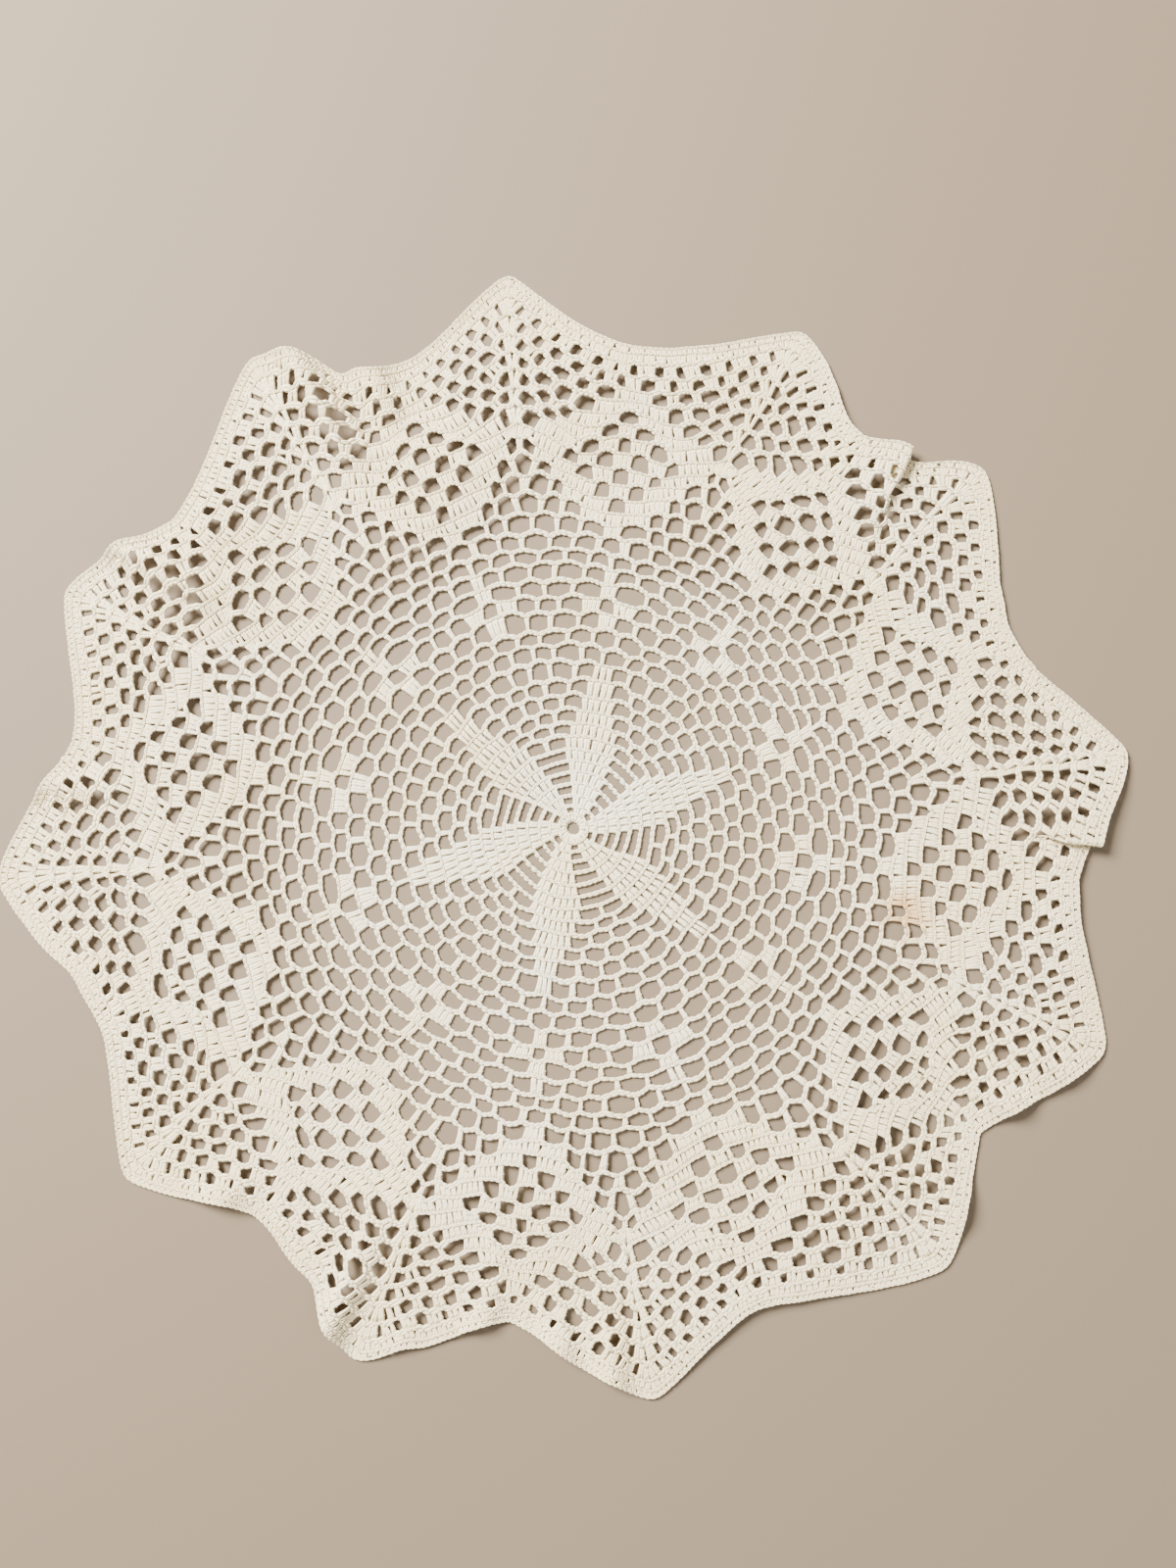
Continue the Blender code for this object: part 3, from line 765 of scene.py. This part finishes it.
# %% Templates made with bmesh
Station = collections.namedtuple("Station", "across along up half_width half_height")
POST_STRANDS = (
    (
        Station(-0.155, -0.12, -0.30, 0.265, 0.45),
        Station(-0.145, 0.32, -0.05, 0.250, 0.74),
        Station(-0.180, 0.70, 0.00, 0.285, 0.78),
        Station(-0.215, 1.05, -0.25, 0.310, 0.48),
    ),
    (
        Station(0.155, -0.12, -0.30, 0.265, 0.45),
        Station(0.145, 0.36, -0.05, 0.250, 0.74),
        Station(0.180, 0.74, 0.00, 0.285, 0.78),
        Station(0.215, 1.05, -0.25, 0.310, 0.48),
    ),
    (
        Station(-0.42, 0.56, 0.10, 0.16, 0.30),
        Station(-0.02, 0.68, 0.60, 0.20, 0.32),
        Station(0.42, 0.80, 0.10, 0.16, 0.30),
    ),
)
LINK_STRANDS = (
    (
        Station(0.34, -0.12, 0.0, 0.58, 0.50),
        Station(0.60, 0.50, 0.20, 0.70, 0.66),
        Station(0.34, 1.12, 0.3, 0.58, 0.52),
    ),
    (
        Station(-0.34, -0.12, 0.3, 0.58, 0.52),
        Station(-0.60, 0.50, 0.20, 0.70, 0.66),
        Station(-0.34, 1.12, 0.0, 0.58, 0.50),
    ),
)
RIDGE_STRANDS = (
    (
        Station(0.20, -0.12, 0.40, 0.34, 0.36),
        Station(0.44, 0.50, 0.55, 0.42, 0.46),
        Station(0.20, 1.12, 0.66, 0.34, 0.36),
    ),
    (
        Station(-0.20, -0.12, 0.66, 0.34, 0.36),
        Station(-0.44, 0.50, 0.55, 0.42, 0.46),
        Station(-0.20, 1.12, 0.40, 0.34, 0.36),
    ),
)
SIDES = 4
Template = collections.namedtuple("Template", "places quads ply")


def add_strand(mesh, stations, side_layer):
    """A closed tube through the stations, its rings square to the along direction."""
    first = stations[0]
    upright = Matrix.Translation((first.across, first.along, first.up))
    upright = upright @ Matrix.Rotation(math.pi / 2, 4, "X")
    upright = upright @ Matrix.Diagonal((first.half_width, first.half_height, 1.0, 1.0))
    made = bmesh.ops.create_circle(mesh, segments=SIDES, radius=1.0, matrix=upright)
    ring = made["verts"]
    for side, vert in enumerate(ring):
        vert[side_layer] = side
    edges = list(dict.fromkeys(edge for vert in ring for edge in vert.link_edges))
    ends = [edges]
    for before, station in zip(stations, stations[1:]):
        grown = bmesh.ops.extrude_edge_only(mesh, edges=edges)["geom"]
        ring = [item for item in grown if isinstance(item, bmesh.types.BMVert)]
        edges = [item for item in grown if isinstance(item, bmesh.types.BMEdge)]
        middle = Vector((before.across, before.along, before.up))
        wider = station.half_width / before.half_width
        taller = station.half_height / before.half_height
        bmesh.ops.scale(
            mesh, verts=ring, vec=(wider, 1.0, taller), space=Matrix.Translation(-middle)
        )
        step = Vector((station.across, station.along, station.up)) - middle
        bmesh.ops.translate(mesh, verts=ring, vec=step)
    ends.append(edges)
    for end in ends:
        bmesh.ops.edgeloop_fill(mesh, edges=end)


def make_template(strands):
    """A template's places, its quads, and where each corner of a quad is on the yarn."""
    mesh = bmesh.new()
    side_layer = mesh.verts.layers.int.new("side")
    for stations in strands:
        add_strand(mesh, stations, side_layer)
    bmesh.ops.recalc_face_normals(mesh, faces=mesh.faces)
    mesh.verts.index_update()
    places = np.array([vert.co[:] for vert in mesh.verts])
    quads, ply = [], []
    # The faces are sorted, because extruding doesn't always make them in one order.
    for face in sorted(mesh.faces, key=lambda face: [vert.index for vert in face.verts]):
        quads.append([vert.index for vert in face.verts])
        sides = [vert[side_layer] for vert in face.verts]
        wraps = max(sides) - min(sides) > SIDES // 2
        around = [side + SIDES if wraps and side == 0 else side for side in sides]
        ply.append([(a / SIDES, vert.co.y) for a, vert in zip(around, face.verts)])
    mesh.free()
    return Template(places, np.array(quads), np.array(ply))


POST = make_template(POST_STRANDS)
LINK = make_template(LINK_STRANDS)
RIDGE = make_template(RIDGE_STRANDS)
for name, template in (("post", POST), ("bar link", LINK), ("ridge link", RIDGE)):
    print(name, "triangles:", 2 * len(template.quads))

# %% [markdown]
# ## Joined pieces
#
# Thousands of separate objects would be slow, and an array can't follow a chart, so the
# copies of a few rounds are joined into one mesh. Each template point is carried to its
# stitch, then laid down with drape(), so that every strand bends with the cloth. The
# quads of every copy are the template's own, counted on by the points before them.

# %% Copy the templates


def copies(template, strands):
    """Places, quads and ply coordinates of one template copied along every strand."""
    direction = strands.ends - strands.starts
    length = np.linalg.norm(direction, axis=-1)
    right = np.stack([direction[:, 1], -direction[:, 0]], axis=-1) / length[:, None]
    across, along, up = template.places.T
    flat = strands.starts[:, None, :] + direction[:, None, :] * along[None, :, None]
    offset = across[None, :] * strands.widths[:, None]
    flat = by_hand(flat + right[:, None, :] * offset[..., None])
    rises = np.broadcast_to(up * MILLIMETRE, flat.shape[:2])
    places = lay_down(flat, rises).reshape(-1, 3)
    start = np.arange(len(direction)) * len(template.places)
    quads = (template.quads[None] + start[:, None, None]).reshape(-1, SIDES)
    ply = np.broadcast_to(template.ply[None], (len(direction),) + template.ply.shape).copy()
    ply[..., 1] *= length[:, None, None]
    return places, quads, ply.reshape(-1, 2)


def cloth_piece(name, numbers):
    """One object that holds every post and link of some rounds."""
    parts = []
    for number in numbers:
        for template, strands in zip((POST, LINK, RIDGE), WORKED[number]):
            if len(strands.starts):
                parts.append(copies(template, strands))
    counts = np.cumsum([0] + [len(part[0]) for part in parts])
    places = np.concatenate([part[0] for part in parts])
    quads = np.concatenate([part[1] + count for part, count in zip(parts, counts)])
    ply = np.concatenate([part[2] for part in parts])
    mesh = bpy.data.meshes.new(name)
    mesh.vertices.add(len(places))
    mesh.vertices.foreach_set("co", places.ravel())
    mesh.loops.add(quads.size)
    mesh.loops.foreach_set("vertex_index", quads.ravel())
    mesh.polygons.add(len(quads))
    mesh.polygons.foreach_set("loop_start", np.arange(len(quads)) * SIDES)
    mesh.polygons.foreach_set("use_smooth", np.ones(len(quads), bool))
    mesh.update(calc_edges=True)
    mesh.uv_layers.new(name="ply").data.foreach_set("uv", ply.ravel())
    mesh.validate()
    piece = bpy.data.objects.new(name, mesh)
    bpy.context.scene.collection.objects.link(piece)
    print(name, 2 * len(quads), "triangles")
    return piece


PIECES = {
    "star_and_net_rounds": range(1, 21),
    "medallion_rounds": range(21, 26),
    "inner_mesh_rounds": range(26, 29),
    "mesh_rounds": range(29, 32),
    "outer_mesh_rounds": range(32, 35),
    "edging_rounds": range(35, 37),
}
cloth = [cloth_piece(name, numbers) for name, numbers in PIECES.items()]

# %% [markdown]
# ## Cotton yarn
#
# Matt white crochet cotton: several plies twisted together, which show as fine slanting
# ridges. It scatters light softly and has almost no gloss. The plies could be modelled,
# but each is a fraction of a millimetre, so they are bump, drawn on each strand's own
# coordinates. Random patches of a cooler white are painted shade tint, and the outer rounds
# are creamier; there is one faint old stain near the right-hand side.

# %% Helpers for materials


def linear(code):
    """A colour as linear numbers, from its sRGB hex code."""
    values = [int(code[start : start + 2], 16) / 255.0 for start in (1, 3, 5)]
    values = [v / 12.92 if v <= 0.04045 else ((v + 0.055) / 1.055) ** 2.4 for v in values]
    return (*values, 1.0)


def add_node(tree, kind, inputs=(), **settings):
    """A node with its settings, and its inputs filled with values or linked to sockets."""
    node = tree.nodes.new(kind)
    for name, value in settings.items():
        setattr(node, name, value)
    for name, value in dict(inputs).items():
        if isinstance(value, bpy.types.NodeSocket):
            tree.links.new(value, node.inputs[name])
        else:
            node.inputs[name].default_value = value
    return node


def new_material(name):
    """An empty material, its node tree and its Principled shader."""
    material = bpy.data.materials.new(name)
    material.use_nodes = True
    return material, material.node_tree, material.node_tree.nodes["Principled BSDF"]


# %% The yarn's material
# Painted shade: patches of two whites mix where a noise goes from one of these values to the
# other; the cooler white stands in for the tint that shade gives the cloth.
YARN_SHADE_TINT = "#EBE3CC"
YARN_CREAM = "#E6D7B0"
PATCH_SHADE_TINT = 0.30
PATCH_CREAM = 0.62
# Between two radii, in metres, the yarn turns creamier towards the rim, up to this share
# of the colour below.
YARN_RIM_CREAM = "#E5D1A3"
RIM_CREAM_FROM = 0.02
RIM_CREAM_TO = 0.26
RIM_CREAM_SHARE = 0.60
# The stain fades from a little outside its radius to a little inside it.
STAIN_TAN = "#C99D66"
STAIN_PLACE = (0.1795, -0.0525, 0.0)
STAIN_RADIUS = 0.013
STAIN_OUTSIDE = 0.011
STAIN_INSIDE = 0.004
STAIN_FRAY = 0.010
STAIN_SHARE = 0.80
# Sizes in metres: a patch of white, a blotch of the stain's edge, and half a wave of the
# plies, which are drawn about twice as coarse as they are so that they show.
PATCH_LENGTH = 1.0 / 14.0
BLOTCH_LENGTH = 1.0 / 120.0
PLY_LENGTH = 0.0016
PLY_DEPTH = 0.00025


def cotton_yarn():
    """White unmercerised cotton: matt, with ply ridges, patches of painted shade and one
    stain.
    """
    material, tree, shader = new_material("cotton_yarn")
    here = add_node(tree, "ShaderNodeTexCoord").outputs["Object"]
    # Painted shade: noise patches of the cooler white stand in for shade tinting the cloth.
    patches = add_node(
        tree,
        "ShaderNodeTexNoise",
        {"Vector": here, "Scale": 1.0 / PATCH_LENGTH, "Detail": 3.0},
    )
    uneven = add_node(
        tree,
        "ShaderNodeMapRange",
        {"Value": patches.outputs["Fac"], "From Min": PATCH_SHADE_TINT, "From Max": PATCH_CREAM},
    )
    white = add_node(
        tree,
        "ShaderNodeMix",
        {0: uneven.outputs["Result"], 6: linear(YARN_SHADE_TINT), 7: linear(YARN_CREAM)},
        data_type="RGBA",
    )
    outward = add_node(tree, "ShaderNodeVectorMath", {0: here}, operation="LENGTH")
    rimward = add_node(
        tree,
        "ShaderNodeMapRange",
        {
            "Value": outward.outputs["Value"],
            "From Min": RIM_CREAM_FROM,
            "From Max": RIM_CREAM_TO,
            "To Max": RIM_CREAM_SHARE,
        },
    )
    rim_creamed = add_node(
        tree,
        "ShaderNodeMix",
        {0: rimward.outputs["Result"], 6: white.outputs[2], 7: linear(YARN_RIM_CREAM)},
        data_type="RGBA",
    )
    distance = add_node(
        tree, "ShaderNodeVectorMath", {0: here, 1: STAIN_PLACE}, operation="DISTANCE"
    )
    blotch = add_node(
        tree, "ShaderNodeTexNoise", {"Vector": here, "Scale": 1.0 / BLOTCH_LENGTH}
    )
    ragged = add_node(
        tree,
        "ShaderNodeMath",
        {0: blotch.outputs["Fac"], 1: STAIN_FRAY, 2: distance.outputs["Value"]},
        operation="MULTIPLY_ADD",
    )
    stain = add_node(
        tree,
        "ShaderNodeMapRange",
        {
            "Value": ragged.outputs["Value"],
            "From Min": STAIN_RADIUS + STAIN_OUTSIDE,
            "From Max": STAIN_RADIUS - STAIN_INSIDE,
            "To Max": STAIN_SHARE,
        },
    )
    colour = add_node(
        tree,
        "ShaderNodeMix",
        {0: stain.outputs["Result"], 6: rim_creamed.outputs[2], 7: linear(STAIN_TAN)},
        data_type="RGBA",
    )
    tree.links.new(colour.outputs[2], shader.inputs["Base Color"])

    yarn = add_node(tree, "ShaderNodeUVMap", uv_map="ply").outputs["UV"]
    stretched = add_node(
        tree, "ShaderNodeMapping", {"Vector": yarn, "Scale": (1.0, 1.0 / PLY_LENGTH, 1.0)}
    )
    plies = add_node(
        tree,
        "ShaderNodeTexWave",
        {"Vector": stretched.outputs["Vector"], "Scale": 1.0 / math.pi, "Distortion": 0.4},
        bands_direction="DIAGONAL",
    )
    bump = add_node(
        tree,
        "ShaderNodeBump",
        {"Height": plies.outputs["Fac"], "Strength": 0.5, "Distance": PLY_DEPTH},
    )
    tree.links.new(bump.outputs["Normal"], shader.inputs["Normal"])
    # Unpolished cotton: rough, with a weak highlight and a little fuzz at glancing angles.
    shader.inputs["Roughness"].default_value = 0.88
    shader.inputs["Specular IOR Level"].default_value = 0.25
    shader.inputs["Sheen Weight"].default_value = 0.15
    shader.inputs["Sheen Roughness"].default_value = 0.5
    return material


cotton = cotton_yarn()
for piece in cloth:
    piece.data.materials.append(cotton)
    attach(piece, "root")
    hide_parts("lace_doily")
print("pieces in", cotton.name + ":", len(cloth))

# %% [markdown]
# ## Floor, light and camera
#
# A plain pale floor lets the gaps read. Two large soft lights, one from the upper left
# and a weaker one from the lower right, keep shadows gentle: straight light from above
# would leave the stitches flat. The camera looks almost straight down, as if held by hand
# over the doily.

# %% Floor
FLOOR_TAN = "#74644F"
FLOOR_HALF_WIDTH = 20.0
floor_mesh = bmesh.new()
bmesh.ops.create_grid(floor_mesh, x_segments=1, y_segments=1, size=FLOOR_HALF_WIDTH)
floor_data = bpy.data.meshes.new("floor")
floor_mesh.to_mesh(floor_data)
floor_mesh.free()
floor = bpy.data.objects.new("floor", floor_data)
bpy.context.scene.collection.objects.link(floor)
floor_paint, _tree, floor_shader = new_material("matt_floor")
floor_shader.inputs["Base Color"].default_value = linear(FLOOR_TAN)
floor_shader.inputs["Roughness"].default_value = 0.8
floor_data.materials.append(floor_paint)
print("floor:", floor.name, tuple(floor.dimensions))

# %% Lights
Softbox = collections.namedtuple("Softbox", "name place size energy")
SOFTBOXES = (
    Softbox("window_side", (-1.42, 1.2, 1.62), 1.0, 385.0),
    Softbox("room_side", (1.4, -0.9, 1.9), 2.2, 45.0),
)
for softbox in SOFTBOXES:
    lamp = bpy.data.lights.new(softbox.name, "AREA")
    lamp.energy = softbox.energy
    lamp.size = softbox.size
    holder = bpy.data.objects.new(softbox.name, lamp)
    holder.location = softbox.place
    aim = -Vector(softbox.place)
    holder.rotation_euler = aim.to_track_quat("-Z", "Y").to_euler()
    bpy.context.scene.collection.objects.link(holder)
ROOM_GREY = "#F1F1F1"
ROOM_STRENGTH = 0.30
world = bpy.data.worlds.new("room")
world.use_nodes = True
background = world.node_tree.nodes["Background"]
background.inputs["Color"].default_value = linear(ROOM_GREY)
background.inputs["Strength"].default_value = ROOM_STRENGTH
bpy.context.scene.world = world
print("lights:", [softbox.name for softbox in SOFTBOXES])

# %% Camera
CAMERA_PLACE = (0.0124, -0.0345, 0.6305)
CAMERA_TILT = math.radians(4.68)
SENSOR_HEIGHT = 36.0
LENS_LENGTH = 27.045
camera_data = bpy.data.cameras.new("camera")
camera_data.sensor_fit = "VERTICAL"
camera_data.sensor_height = SENSOR_HEIGHT
camera_data.lens = LENS_LENGTH
camera = bpy.data.objects.new("camera", camera_data)
camera.location = CAMERA_PLACE
camera.rotation_euler = (CAMERA_TILT, 0.0, 0.0)
bpy.context.scene.collection.objects.link(camera)
bpy.context.scene.camera = camera
print("camera at", CAMERA_PLACE, "lens", LENS_LENGTH, "mm")
